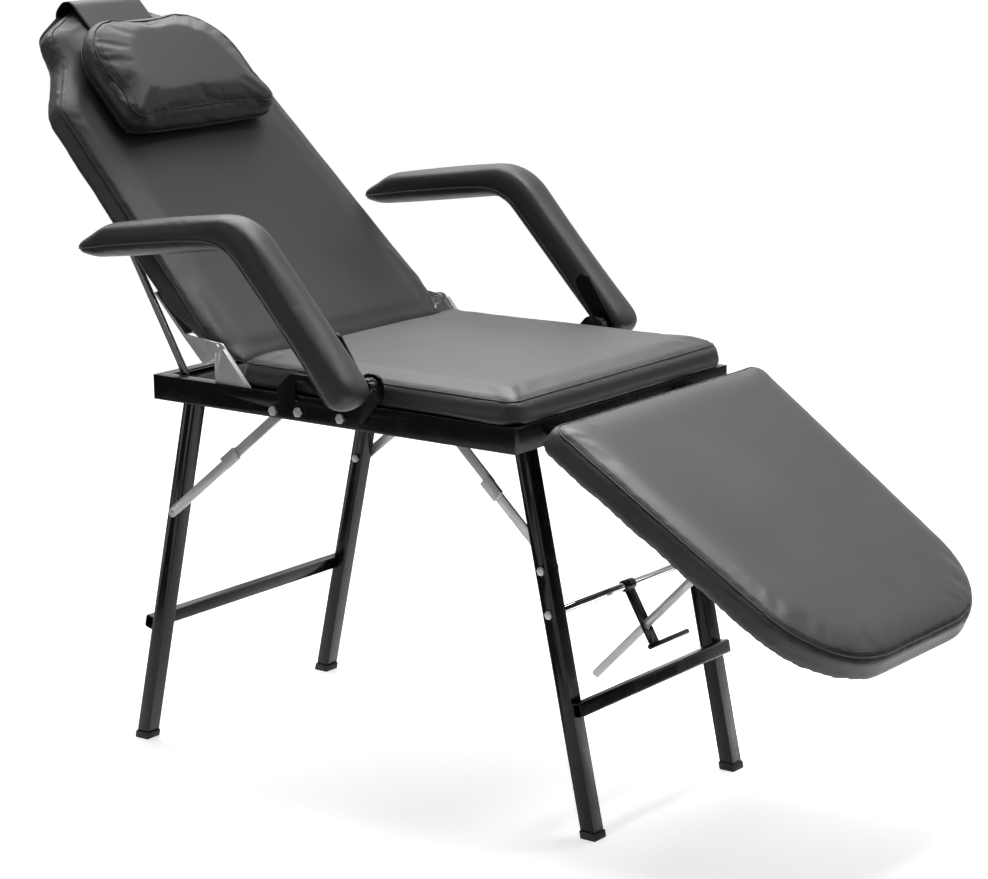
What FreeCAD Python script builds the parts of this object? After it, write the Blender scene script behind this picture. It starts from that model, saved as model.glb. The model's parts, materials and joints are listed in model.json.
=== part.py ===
import FreeCAD, Part
import math
import os

V = FreeCAD.Vector

# Seat frame of angle steel
RAIL_LENGTH = 722.0
RAIL_HALF = 284.0
RAIL_TOP = 641.0
RAIL_HEIGHT = 40.0
FLANGE = 22.0
STEEL = 3.0
MID_BAR_X = 490.0
MID_BAR_WIDTH = 30.0
MID_BAR_DEPTH = 10.0

# Clearances
SOFT_GAP = 0.3
RUNNING = 0.05
SIDE_PLAY = 0.5

# Seat cushion
SEAT_REAR = 165.0
SEAT_REAR_IN = 12.0
SEAT_FRONT_OVER = 1.0
SEAT_REAR_HALF = RAIL_HALF - SEAT_REAR_IN
SEAT_FRONT_HALF = RAIL_HALF + SEAT_FRONT_OVER
SEAT_THICK = 50.0
SEAT_BOARD = 12.0
SEAT_CORNER = 30.0
BOARD_INSET = 9.0

# Backrest, laid flat before it is tilted
BACK_PIVOT_X = 140.0
BACK_PIVOT_Z = 697.0
BACK_ANGLE = 45.0
BACK_FRONT = 6.0
BACK_REAR = -41.0
BACK_BOARD = 9.0
BACK_OVER = 1.0
BACK_HALF = RAIL_HALF + BACK_OVER
BACK_FRONT_START = -45.0
BACK_REAR_START = 58.0
BACK_EASE_LENGTH = 76.0
BACK_EASE = 30.0
SHOULDER = (513.0, 254.0)
NECK = (601.0, 180.5)
HEAD_SIDE = (682.0, 161.0)
HEAD_TOP = (742.0, 53.0)

# Head pillow and its band
PILLOW_LOW = (428.0, 170.0)
PILLOW_HIGH = (642.0, 160.0)
PILLOW_THICK = 60.0
BAND_HALF = 80.0
BAND_THICK = 2.0
BAND_BACK = 650.0
BAND_GAP = 1.5

# Hinge brackets between seat frame and backrest
GUSSET_IN = 5.5
CHEEK_IN = 4.0
GUSSET_Y = RAIL_HALF - GUSSET_IN
CHEEK_Y = GUSSET_Y - CHEEK_IN
BRACKET_STEEL = 3.0
HINGE_PIN = 4.0
CHEEK_REAR = -47.0
CHEEK_FLANGE = 18.5
CHEEK_FLANGE_Y = CHEEK_Y - CHEEK_FLANGE
CHEEK_FLANGE_END = 150.0

# Prop behind the backrest
PROP_FOOT_X = 36.0
PROP_FOOT_Z = 636.0
PROP_IN = 39.0
PROP_Y = RAIL_HALF - PROP_IN
PROP_TOP = 285.0
PROP_OFFSET = -48.5
PROP_RADIUS = 6.5
PROP_BAR = 6.0
RACK_IN = 26.0
PROP_BAR_OVER = 3.5
RACK_Y = RAIL_HALF - RACK_IN
PROP_BAR_HALF = RACK_Y + PROP_BAR_OVER
RACK_LOW = 619.0
RACK_REAR = 16.0
RACK_FRONT = 130.0
RACK_GAP = 1.2
RACK_SEAT = 2.0

# Leg sets of square tube
LEG_SIZE = 25.0
LEG_WALL = 2.0
LEG_BOLT = 5.0
REAR_LEG_FOOT = -99.0
REAR_LEG_SLOPE = 0.2325
REAR_LEG_PIVOT_Z = 610.0
REAR_LEG_IN = 53.0
REAR_LEG_Y = RAIL_HALF - REAR_LEG_IN
REAR_BAR_Z = 203.0
FRONT_FOOT_OUT = 71.0
FRONT_LEG_FOOT = RAIL_LENGTH + FRONT_FOOT_OUT
FRONT_LEG_SLOPE = -0.2034
FRONT_LEG_PIVOT_Z = 612.0
FRONT_LEG_IN = 38.0
FRONT_LEG_Y = REAR_LEG_Y - FRONT_LEG_IN
FRONT_BAR_Z = 196.0
CROSS_BAR_HEIGHT = 22.0
CROSS_BAR_DEPTH = 16.0
LEG_END = 11.0
FOOT_HEIGHT = 12.0
FOOT_LIP = 1.5

# Folding braces of flat bar
LINK_WIDTH = 16.0
LINK_THICK = 4.0
LINK_GAP = 1.0
BRACE_PIN = 4.0
REAR_BRACE_Z = 405.0
REAR_BRACE_X = 256.0
BRACE_FRAME_Z = 612.0
REAR_BRACE_SPLIT = 0.498
FRONT_BRACE_Z = 407.0
FRONT_BRACE_SPLIT = 0.55
CLIP_LENGTH = 36.0
CLIP_STEEL = 2.5

# Leg rest, laid level before it is lowered
LEGREST_PIVOT_OUT = 10.0
LEGREST_PIVOT_X = RAIL_LENGTH + LEGREST_PIVOT_OUT
LEGREST_PIVOT_Z = 621.0
LEGREST_ANGLE = 33.5
LEGREST_START = 20.0
LEGREST_END = 565.0
LEGREST_LOW = 12.0
LEGREST_TOP = 64.0
LEGREST_BOARD = 10.0
LEGREST_REAR_HALF = 272.0
LEGREST_FOOT_HALF = 238.0
LEGREST_CORNER = 150.0
STRAP_HINGE_Y = 175.0
STRAP_HINGE_HALF = 25.0
STRAP_KNUCKLE = 6.0
STRAP_PIN = 3.5
STRAP_LENGTH = 95.0

# Stay between the front legs and the leg rest
ROD_Z = 341.0
ROD_RADIUS = 6.0
ROD_STUD = 4.0
JAM_ANGLE = -59.7
JAM_LENGTH = 98.0
JAM_HALF = 12.0
JAM_STEEL = 3.0
TUBE_RADIUS = 7.0
TUBE_WALL = 1.5
TUBE_OFFSET = 66.0
TUBE_TAIL = 153.0
STAY_SEAT = 262.0
STAY_DROP = -3.0
STAY_PIN = 4.0
STAY_PIN_HALF = 20.0
STAY_CHEEK_Y = 13.0
STAY_NOTCH = 23.0
STAY_PRONG = 11.0
RELEASE_RADIUS = 4.0
RELEASE_REACH = 90.0

# Arm rests
ARM_OUT = 38.0
ARM_Y = RAIL_HALF + ARM_OUT
ARM_WIDTH = 64.0
ARM_PIVOT_X = 460.0
ARM_PIVOT_Z = 676.0
ARM_BRACKET = 5.0
ARM_STUD = 6.0
ARM_PLATE = 4.0
KNOB_RADIUS = 13.0
KNOB_LENGTH = 18.0

# Sizes that follow from the ones above
RAIL_LOW = RAIL_TOP - RAIL_HEIGHT
RAIL_WALL = RAIL_HALF - STEEL
REAR_PIVOT_X = REAR_LEG_FOOT + REAR_LEG_SLOPE * REAR_LEG_PIVOT_Z
FRONT_PIVOT_X = FRONT_LEG_FOOT + FRONT_LEG_SLOPE * FRONT_LEG_PIVOT_Z
ROD_X = FRONT_LEG_FOOT + FRONT_LEG_SLOPE * ROD_Z
REAR_BRACE_LEG_X = REAR_LEG_FOOT + REAR_LEG_SLOPE * REAR_BRACE_Z
FRONT_BRACE_LEG_X = FRONT_LEG_FOOT + FRONT_LEG_SLOPE * FRONT_BRACE_Z
Y_AXIS = V(0, 1, 0)
BACK_PIVOT = V(BACK_PIVOT_X, 0, BACK_PIVOT_Z)
LEGREST_PIVOT = V(LEGREST_PIVOT_X, 0, LEGREST_PIVOT_Z)


def box(x0, x1, y0, y1, z0, z1):
    return Part.makeBox(x1 - x0, y1 - y0, z1 - z0, V(x0, y0, z0))


def round_y(x, z, radius, y0, y1):
    return Part.makeCylinder(radius, y1 - y0, V(x, y0, z), Y_AXIS)


def round_between(start, end, radius):
    run = end - start
    return Part.makeCylinder(radius, run.Length, start, run)


def hexagon_y(x, z, radius, y0, y1):
    points = []
    for i in range(6):
        turn = math.radians(60 * i)
        points.append((x + radius * math.cos(turn), z + radius * math.sin(turn)))
    return plate(points, [0] * 6, y0, y1)


def mirrored(shape):
    return shape.mirror(V(0, 0, 0), Y_AXIS)


def pair(shape):
    return [shape, mirrored(shape)]


def on_back(s, n):
    turn = math.radians(BACK_ANGLE)
    x = BACK_PIVOT_X - s * math.cos(turn) + n * math.sin(turn)
    z = BACK_PIVOT_Z + s * math.sin(turn) + n * math.cos(turn)
    return V(x, 0, z)


def on_legrest(s, n):
    turn = math.radians(LEGREST_ANGLE)
    x = LEGREST_PIVOT_X + s * math.cos(turn) + n * math.sin(turn)
    z = LEGREST_PIVOT_Z - s * math.sin(turn) + n * math.cos(turn)
    return V(x, 0, z)


def tilt_back(shape):
    return shape.rotated(BACK_PIVOT, Y_AXIS, BACK_ANGLE)


def tilt_legrest(shape):
    return shape.rotated(LEGREST_PIVOT, Y_AXIS, LEGREST_ANGLE)


def moved_in(points, inset):
    count = len(points)
    lines = []
    for i in range(count):
        a = V(points[i][0], points[i][1], 0)
        b = V(points[(i + 1) % count][0], points[(i + 1) % count][1], 0)
        run = (b - a).normalize()
        lines.append((a + V(-run.y, run.x, 0) * inset, run))
    corners = []
    for i in range(count):
        p, d = lines[i - 1]
        q, e = lines[i]
        reach = ((q.x - p.x) * e.y - (q.y - p.y) * e.x) / (d.x * e.y - d.y * e.x)
        corners.append(p + d * reach)
    return corners


def outline(points, radii, inset, place):
    corners = moved_in(points, inset)
    count = len(corners)
    bends = []
    for i in range(count):
        corner = corners[i]
        before = (corner - corners[i - 1]).normalize()
        after = (corners[(i + 1) % count] - corner).normalize()
        turn = math.atan2(before.x * after.y - before.y * after.x, before.dot(after))
        radius = radii[i]
        if radius:
            radius = max(radius - inset, 2.0) if turn > 0 else radius + inset
        reach = radius * math.tan(abs(turn) / 2)
        start = corner - before * reach
        end = corner + after * reach
        inward = (after - before).normalize()
        middle = corner + inward * (radius / math.cos(turn / 2) - radius)
        bends.append((start, middle, end, radius))
    edges = []
    for i in range(count):
        start, middle, end, radius = bends[i]
        last = bends[i - 1][2]
        if (start - last).Length > 1e-4:
            edges.append(Part.makeLine(place(last), place(start)))
        if radius:
            arc = Part.Arc(place(start), place(middle), place(end))
            edges.append(arc.toShape())
    return Part.Wire(edges)


def plate(points, radii, y0, y1):
    wire = outline(points, radii, 0, lambda p: V(p.x, y0, p.y))
    return Part.Face(wire).extrude(V(0, y1 - y0, 0))


def sheet_at(points, radii, inset, z0, z1):
    wire = outline(points, radii, inset, lambda p: V(p.x, p.y, z0))
    return Part.Face(wire).extrude(V(0, 0, z1 - z0))


def cushion(levels, radii):
    wires = []
    for height, inset, points in levels:
        wires.append(outline(points, radii, inset, lambda p, h=height: V(p.x, p.y, h)))
    return Part.makeLoft(wires, True, False)


def crown_levels(low, thick, outlines):
    heights = (0.0, 0.28, 0.6, 0.78, 0.89, 0.96, 1.0)
    insets = (2.0, 0.0, 0.3, 3.0, 11.0, 30.0, 62.0)
    levels = []
    for part, inset in zip(heights, insets):
        levels.append((low + part * thick, inset, outlines(part)))
    return levels


def side_rail():
    wall = box(0, RAIL_LENGTH, -RAIL_HALF, -RAIL_WALL, RAIL_LOW, RAIL_TOP)
    flange = box(0, RAIL_LENGTH, -RAIL_WALL, -RAIL_HALF + FLANGE, RAIL_TOP - STEEL, RAIL_TOP)
    rail = wall.fuse(flange).removeSplitter()
    return rail.cut(round_y(REAR_BRACE_X, BRACE_FRAME_Z, BRACE_PIN, -RAIL_HALF - 1, -RAIL_WALL + 1))


def end_rail(face_x, inward):
    under = RAIL_TOP - STEEL
    inner = RAIL_HALF - FLANGE
    wall_x = sorted((face_x, face_x + inward * STEEL))
    flange_x = sorted((face_x, face_x + inward * FLANGE))
    wall = box(wall_x[0], wall_x[1], -RAIL_WALL, RAIL_WALL, RAIL_LOW, under)
    flange = box(flange_x[0], flange_x[1], -inner, inner, under, RAIL_TOP)
    return wall.fuse(flange).removeSplitter()


def mid_cross_bar():
    half = MID_BAR_WIDTH / 2
    low = RAIL_TOP - MID_BAR_DEPTH
    flange = box(MID_BAR_X - half, MID_BAR_X + half, -RAIL_WALL, RAIL_WALL, low, RAIL_TOP - STEEL)
    inner = RAIL_HALF - FLANGE
    bar = flange.fuse(box(MID_BAR_X - half, MID_BAR_X + half, -inner, inner, low, RAIL_TOP))
    outer = FRONT_BRACE_UPPER_Y - LINK_THICK - LINK_GAP
    lug_points = [(MID_BAR_X - 10, BRACE_FRAME_Z - 9), (MID_BAR_X + 10, BRACE_FRAME_Z - 9),
                  (MID_BAR_X + 13, low), (MID_BAR_X - 13, low)]
    lug = plate(lug_points, [8, 8, 0, 0], -outer, -outer + LINK_THICK)
    lug = lug.cut(round_y(MID_BAR_X, BRACE_FRAME_Z, BRACE_PIN, -outer - 1, -outer + 9))
    for piece in pair(lug):
        bar = bar.fuse(piece)
    return bar.removeSplitter()


def seat_points(part):
    return [(SEAT_REAR, -SEAT_REAR_HALF), (RAIL_LENGTH, -SEAT_FRONT_HALF),
            (RAIL_LENGTH, SEAT_FRONT_HALF), (SEAT_REAR, SEAT_REAR_HALF)]


def seat_pad():
    radii = [SEAT_CORNER] * 4
    pad = cushion(crown_levels(RAIL_TOP, SEAT_THICK, seat_points), radii)
    pocket = sheet_at(seat_points(0), radii, BOARD_INSET - SOFT_GAP, RAIL_TOP,
                      RAIL_TOP + SEAT_BOARD + SOFT_GAP)
    return pad.cut(pocket)


def seat_board():
    return sheet_at(seat_points(0), [SEAT_CORNER] * 4, BOARD_INSET, RAIL_TOP, RAIL_TOP + SEAT_BOARD)


def back_side(s):
    return BACK_HALF + (SHOULDER[1] - BACK_HALF) * s / SHOULDER[0]


def back_half_points(start):
    eased = start + BACK_EASE_LENGTH
    half = [(start, back_side(start) - BACK_EASE), (eased, back_side(eased)), SHOULDER, NECK, HEAD_SIDE, HEAD_TOP]
    near = [(BACK_PIVOT_X - s, -w) for s, w in half]
    far = [(BACK_PIVOT_X - s, w) for s, w in half]
    return far + near[::-1]


def back_points(part):
    return back_half_points(BACK_REAR_START + part * (BACK_FRONT_START - BACK_REAR_START))


BACK_RADII = [22, 120, 60, 50, 60, 110]
BACK_RADII = BACK_RADII + BACK_RADII[::-1]


def backrest_pad():
    low = BACK_PIVOT_Z + BACK_REAR
    pad = cushion(crown_levels(low, BACK_FRONT - BACK_REAR, back_points), BACK_RADII)
    start = back_half_points(BACK_REAR_START)
    pocket = sheet_at(start, BACK_RADII, BOARD_INSET - SOFT_GAP, low, low + BACK_BOARD + SOFT_GAP)
    return tilt_back(pad.cut(pocket))


def backrest_board():
    low = BACK_PIVOT_Z + BACK_REAR
    start = back_half_points(BACK_REAR_START)
    return tilt_back(sheet_at(start, BACK_RADII, BOARD_INSET, low, low + BACK_BOARD))


def hinge_gusset():
    y0 = -GUSSET_Y - BRACKET_STEEL
    top = BACK_PIVOT_Z
    points = [(BACK_PIVOT_X - 8, RAIL_TOP), (BACK_PIVOT_X + 66, RAIL_TOP),
              (BACK_PIVOT_X + 9, top + 9), (BACK_PIVOT_X - 9, top + 9)]
    web = plate(points, [0, 0, 8, 8], y0, -GUSSET_Y)
    run = V(BACK_PIVOT_X + 66, 0, RAIL_TOP) - V(BACK_PIVOT_X + 9, 0, top + 9)
    run.normalize()
    across = V(-run.z, 0, run.x)
    a = V(BACK_PIVOT_X + 9, 0, top + 9) + run * 10
    b = V(BACK_PIVOT_X + 66, 0, RAIL_TOP) - run * 8
    inner = [a, b, b - across * BRACKET_STEEL, a - across * BRACKET_STEEL]
    lip = plate([(p.x, p.z) for p in inner], [0] * 4, y0 - 6, y0)
    web = web.fuse(lip)
    return web.cut(round_y(BACK_PIVOT_X, BACK_PIVOT_Z, HINGE_PIN, y0 - 1, -GUSSET_Y + 1))


def hinge_pin():
    outer = -GUSSET_Y - BRACKET_STEEL
    pin = round_y(BACK_PIVOT_X, BACK_PIVOT_Z, HINGE_PIN, outer - 3, -CHEEK_Y + 2)
    return pin.fuse(round_y(BACK_PIVOT_X, BACK_PIVOT_Z, HINGE_PIN + 3, outer - 4, outer))


def back_cheek():
    y0 = -CHEEK_Y - BRACKET_STEEL
    x = BACK_PIVOT_X
    z = BACK_PIVOT_Z
    flat = z + BACK_REAR
    low = z + CHEEK_REAR
    points = [(x - CHEEK_FLANGE_END, flat - BRACKET_STEEL), (x - 64, low), (x - 2, low),
              (x + 9, z - 4), (x + 9, z + 9), (x - 3, z + 7), (x - BACK_REAR_START - 4, flat),
              (x - CHEEK_FLANGE_END, flat)]
    web = plate(points, [0, 10, 8, 4, 8, 0, 0, 0], y0, -CHEEK_Y)
    flange = box(x - CHEEK_FLANGE_END, x - BACK_REAR_START - 4, -CHEEK_Y, -CHEEK_FLANGE_Y,
                 flat - BRACKET_STEEL, flat)
    bore = round_y(x, z, HINGE_PIN + RUNNING, y0 - 1, -CHEEK_Y + 1)
    return tilt_back(web.fuse(flange).cut(bore))


def prop_clevis():
    x = BACK_PIVOT_X - PROP_TOP
    z = BACK_PIVOT_Z + PROP_OFFSET
    flat = BACK_PIVOT_Z + BACK_REAR
    reach = PROP_RADIUS + SIDE_PLAY
    lug_points = [(x - 9, z - 7), (x + 9, z - 7), (x + 14, flat), (x - 14, flat)]
    clevis = round_y(x, z, BRACE_PIN, -PROP_Y - reach - 4, -PROP_Y + reach + 4)
    for y0 in (-PROP_Y - reach - 4, -PROP_Y + reach):
        clevis = clevis.fuse(plate(lug_points, [5, 5, 0, 0], y0, y0 + 4))
    return tilt_back(clevis)


def prop_strut():
    top = on_back(PROP_TOP, PROP_OFFSET)
    foot = V(PROP_FOOT_X, 0, PROP_FOOT_Z)
    aside = V(0, -PROP_Y, 0)
    strut = round_between(foot + aside, top + aside, PROP_RADIUS)
    strut = strut.fuse(round_y(top.x, top.z, PROP_RADIUS + 0.5, -PROP_Y - PROP_RADIUS, -PROP_Y + PROP_RADIUS))
    strut = strut.cut(round_y(top.x, top.z, BRACE_PIN + RUNNING, -PROP_Y - 20, -PROP_Y + 20))
    return strut.cut(round_y(foot.x, foot.z, PROP_BAR, -PROP_Y - 20, -PROP_Y + 20))


def prop_foot_bar():
    return round_y(PROP_FOOT_X, PROP_FOOT_Z, PROP_BAR, -PROP_BAR_HALF, PROP_BAR_HALF)


def prop_foot_at(tilt):
    top = on_back(PROP_TOP, PROP_OFFSET)
    foot = V(PROP_FOOT_X, 0, PROP_FOOT_Z)
    swing = math.degrees(math.atan2(top.z - foot.z, foot.x - top.x)) - BACK_ANGLE
    bar = Part.Vertex(foot)
    bar = bar.rotated(top, Y_AXIS, -swing * tilt / BACK_ANGLE)
    return bar.rotated(BACK_PIVOT, Y_AXIS, -tilt).Point


def prop_rack():
    y0 = -RACK_Y - STEEL
    clear = REAR_PIVOT_X + LEG_BOLT + 6
    high = PROP_FOOT_Z - 1
    points = [(RACK_REAR, RACK_LOW), (clear, RACK_LOW), (clear + 4, RACK_LOW - 13),
              (RACK_FRONT, RACK_LOW - 13), (RACK_FRONT, high)]
    for tilt in range(34, 0, -4):
        foot = prop_foot_at(tilt)
        points.append((foot.x, foot.z - PROP_BAR - RACK_GAP))
    points += [(PROP_FOOT_X - PROP_BAR - 1, PROP_FOOT_Z - PROP_BAR - SIDE_PLAY),
               (PROP_FOOT_X - PROP_BAR - 3, high), (RACK_REAR, high)]
    rack = plate(points, [0] * len(points), y0, -RACK_Y)
    rack = rack.fuse(box(clear + 6, RACK_FRONT, -RAIL_WALL, y0, RACK_LOW - 13, RACK_LOW - 13 + STEEL))
    for tilt in (8, 16, 24, 32):
        foot = prop_foot_at(tilt)
        rack = rack.cut(round_y(foot.x, foot.z, PROP_BAR + RACK_GAP + RACK_SEAT, y0 - 1, -RACK_Y + 1))
    return rack.removeSplitter()


def leg_frame(foot, slope, z, along, aside):
    size = math.hypot(slope, 1)
    x = foot + slope * z + (slope * along + aside) / size
    return (x, z + (along - slope * aside) / size)


def leg(foot, slope, pivot_z, y, pins):
    half = LEG_SIZE / 2
    wide = half * math.hypot(slope, 1)
    low_x = foot + slope * FOOT_HEIGHT
    right = leg_frame(foot, slope, pivot_z, LEG_END, half)
    left = leg_frame(foot, slope, pivot_z, LEG_END, -half)
    points = [(low_x - wide, FOOT_HEIGHT), (low_x + wide, FOOT_HEIGHT), right, left]
    tube = plate(points, [0] * 4, -y - half, -y + half)
    thin = half - LEG_WALL
    bore = thin * math.hypot(slope, 1)
    right = leg_frame(foot, slope, pivot_z, LEG_END - LEG_WALL, thin)
    left = leg_frame(foot, slope, pivot_z, LEG_END - LEG_WALL, -thin)
    points = [(low_x - bore, FOOT_HEIGHT), (low_x + bore, FOOT_HEIGHT), right, left]
    tube = tube.cut(plate(points, [0] * 4, -y - thin, -y + thin))
    for z, radius in pins:
        tube = tube.cut(round_y(foot + slope * z, z, radius, -y - half - 1, -y + half + 1))
    return tube


def leg_foot(foot, slope, y):
    half = LEG_SIZE / 2 + FOOT_LIP
    wide = half * math.hypot(slope, 1)
    top_x = foot + slope * FOOT_HEIGHT
    points = [(foot - wide, 0), (foot + wide, 0), (top_x + wide, FOOT_HEIGHT), (top_x - wide, FOOT_HEIGHT)]
    cap = plate(points, [2, 2, 0, 0], -y - half, -y + half)
    plug = LEG_SIZE / 2 - LEG_WALL - SOFT_GAP
    wide = plug * math.hypot(slope, 1)
    high_x = foot + slope * FOOT_HEIGHT * 2.5
    points = [(top_x - wide, FOOT_HEIGHT), (top_x + wide, FOOT_HEIGHT),
              (high_x + wide, FOOT_HEIGHT * 2.5), (high_x - wide, FOOT_HEIGHT * 2.5)]
    return cap.fuse(plate(points, [0] * 4, -y - plug, -y + plug))


def leg_cross_bar(foot, slope, z, y, side):
    half = CROSS_BAR_HEIGHT / 2
    near = side * LEG_SIZE / 2
    far = near + side * CROSS_BAR_DEPTH
    reach = y + LEG_SIZE / 2
    points = [leg_frame(foot, slope, z, -half, near), leg_frame(foot, slope, z, -half, far),
              leg_frame(foot, slope, z, half, far), leg_frame(foot, slope, z, half, near)]
    if side < 0:
        points = points[::-1]
    bar = plate(points, [0, 4, 4, 0], -reach, reach)
    wall = LEG_WALL
    thin = half - wall
    points = [leg_frame(foot, slope, z, -thin, near + side * wall),
              leg_frame(foot, slope, z, -thin, far - side * wall),
              leg_frame(foot, slope, z, thin, far - side * wall),
              leg_frame(foot, slope, z, thin, near + side * wall)]
    if side < 0:
        points = points[::-1]
    return bar.cut(plate(points, [0, 2, 2, 0], -reach - 1, reach + 1))


def leg_bolt(x, z, y):
    outer = -y - LEG_SIZE / 2 - SIDE_PLAY
    inner = -y + LEG_SIZE / 2 + SIDE_PLAY
    bolt = round_y(x, z, LEG_BOLT, -RAIL_WALL, inner + 5)
    bolt = bolt.fuse(round_y(x, z, LEG_BOLT + 2.5, -RAIL_WALL, outer))
    return bolt.fuse(hexagon_y(x, z, LEG_BOLT + 3.5, inner, inner + 5))


def leg_bolts():
    bolts = pair(leg_bolt(REAR_PIVOT_X, REAR_LEG_PIVOT_Z, REAR_LEG_Y))
    return bolts + pair(leg_bolt(FRONT_PIVOT_X, FRONT_LEG_PIVOT_Z, FRONT_LEG_Y))


REAR_BRACE_LOWER_Y = REAR_LEG_Y + LEG_SIZE / 2 + LINK_GAP + LINK_THICK
REAR_BRACE_UPPER_Y = REAR_BRACE_LOWER_Y + LINK_GAP + LINK_THICK
FRONT_BRACE_LOWER_Y = FRONT_LEG_Y - LEG_SIZE / 2 - CLIP_STEEL - LINK_GAP
FRONT_BRACE_UPPER_Y = FRONT_BRACE_LOWER_Y - LINK_THICK - LINK_GAP


def brace_points(leg_x, leg_z, frame_x, split):
    low = V(leg_x, 0, leg_z)
    high = V(frame_x, 0, BRACE_FRAME_Z)
    return low, low + (high - low) * split, high


def rear_brace_points():
    return brace_points(REAR_BRACE_LEG_X, REAR_BRACE_Z, REAR_BRACE_X, REAR_BRACE_SPLIT)


def front_brace_points():
    return brace_points(FRONT_BRACE_LEG_X, FRONT_BRACE_Z, MID_BAR_X, FRONT_BRACE_SPLIT)


def bar_points(start, end, half, extra):
    run = (end - start).normalize()
    across = V(-run.z, 0, run.x) * half
    a = start - run * extra
    b = end + run * extra
    corners = [a - across, b - across, b + across, a + across]
    return [(p.x, p.z) for p in corners]


def link(pinned, free, outer):
    half = LINK_WIDTH / 2
    points = bar_points(pinned, free, half, half)
    bar = plate(points, [half - 0.2] * 4, -outer, -outer + LINK_THICK)
    return bar.cut(round_y(pinned.x, pinned.z, BRACE_PIN + RUNNING, -outer - 1, -outer + LINK_THICK + 1))


def clip(joint, along, y_plate, y_lips):
    run = (along - joint).normalize()
    start = joint - run * (LINK_WIDTH / 2)
    end = start + run * CLIP_LENGTH
    half = LINK_WIDTH / 2 + CLIP_STEEL
    shape = plate(bar_points(start, end, half, 0), [2] * 4, y_plate[0], y_plate[1])
    across = V(-run.z, 0, run.x)
    for side in (-1, 1):
        shift = across * (side * (half - CLIP_STEEL / 2 + RUNNING))
        lip = plate(bar_points(start + shift, end + shift, CLIP_STEEL / 2 - RUNNING, -2), [0] * 4,
                    y_lips[0], y_lips[1])
        shape = shape.fuse(lip)
    return shape


def rear_upper_link():
    low, joint, high = rear_brace_points()
    return link(high, joint, REAR_BRACE_UPPER_Y)


def rear_lower_link():
    low, joint, high = rear_brace_points()
    return link(low, joint, REAR_BRACE_LOWER_Y)


def rear_clip():
    low, joint, high = rear_brace_points()
    face = -REAR_BRACE_UPPER_Y
    return clip(joint, high, (face - CLIP_STEEL, face), (face, face + LINK_THICK))


def front_upper_link():
    low, joint, high = front_brace_points()
    return link(high, joint, FRONT_BRACE_UPPER_Y)


def front_lower_link():
    low, joint, high = front_brace_points()
    return link(low, joint, FRONT_BRACE_LOWER_Y)


def front_clip():
    low, joint, high = front_brace_points()
    face = -FRONT_BRACE_LOWER_Y
    return clip(joint, low, (face - CLIP_STEEL, face), (face, face + LINK_THICK))


def rear_rail_bolt():
    low, joint, high = rear_brace_points()
    inner = -REAR_BRACE_UPPER_Y
    bolt = round_y(high.x, high.z, BRACE_PIN, -RAIL_HALF, inner + LINK_THICK)
    bolt = bolt.fuse(round_y(high.x, high.z, BRACE_PIN + 3, -RAIL_WALL, inner - LINK_GAP / 2))
    return bolt.fuse(hexagon_y(high.x, high.z, BRACE_PIN + 4, -RAIL_HALF - 5, -RAIL_HALF))


def front_lug_pin():
    low, joint, high = front_brace_points()
    outer = -FRONT_BRACE_UPPER_Y
    pin = round_y(high.x, high.z, BRACE_PIN, outer, outer + LINK_THICK * 2 + LINK_GAP)
    inner = outer + LINK_THICK * 2 + LINK_GAP
    return pin.fuse(round_y(high.x, high.z, BRACE_PIN + 3, inner, inner + 4))


def leg_pin(x, z, reach, head):
    low = min(reach, head)
    high = max(reach, head)
    pin = round_y(x, z, BRACE_PIN, low, high)
    cap = (head, head + 4) if head > reach else (head - 4, head)
    return pin.fuse(hexagon_y(x, z, BRACE_PIN + 3, cap[0], cap[1]))


def rear_brace_bolt():
    low, joint, high = rear_brace_points()
    inside = -REAR_LEG_Y + LEG_SIZE / 2
    return leg_pin(low.x, low.z, -REAR_BRACE_LOWER_Y, inside)


def front_brace_bolt():
    low, joint, high = front_brace_points()
    outside = -FRONT_LEG_Y - LEG_SIZE / 2
    return leg_pin(low.x, low.z, -FRONT_BRACE_LOWER_Y + LINK_THICK, outside)


def rod_bolt():
    outside = -FRONT_LEG_Y - LEG_SIZE / 2
    reach = outside + LEG_WALL
    return leg_pin(ROD_X, ROD_Z, reach, outside)


def rear_legs():
    pins = [(REAR_LEG_PIVOT_Z, LEG_BOLT + RUNNING), (REAR_BRACE_Z, BRACE_PIN)]
    return pair(leg(REAR_LEG_FOOT, REAR_LEG_SLOPE, REAR_LEG_PIVOT_Z, REAR_LEG_Y, pins))


def front_legs():
    pins = [(FRONT_LEG_PIVOT_Z, LEG_BOLT + RUNNING), (FRONT_BRACE_Z, BRACE_PIN), (ROD_Z, ROD_STUD + RUNNING)]
    return pair(leg(FRONT_LEG_FOOT, FRONT_LEG_SLOPE, FRONT_LEG_PIVOT_Z, FRONT_LEG_Y, pins))


def legrest_points(part):
    x = LEGREST_PIVOT_X
    return [(x + LEGREST_START, -LEGREST_REAR_HALF), (x + LEGREST_END, -LEGREST_FOOT_HALF),
            (x + LEGREST_END, LEGREST_FOOT_HALF), (x + LEGREST_START, LEGREST_REAR_HALF)]


LEGREST_RADII = [SEAT_CORNER, LEGREST_CORNER, LEGREST_CORNER, SEAT_CORNER]


def legrest_pad():
    low = LEGREST_PIVOT_Z + LEGREST_LOW
    pad = cushion(crown_levels(low, LEGREST_TOP - LEGREST_LOW, legrest_points), LEGREST_RADII)
    pocket = sheet_at(legrest_points(0), LEGREST_RADII, BOARD_INSET - SOFT_GAP, low,
                      low + LEGREST_BOARD + SOFT_GAP)
    return tilt_legrest(pad.cut(pocket))


def legrest_board():
    low = LEGREST_PIVOT_Z + LEGREST_LOW
    return tilt_legrest(sheet_at(legrest_points(0), LEGREST_RADII, BOARD_INSET, low, low + LEGREST_BOARD))


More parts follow.
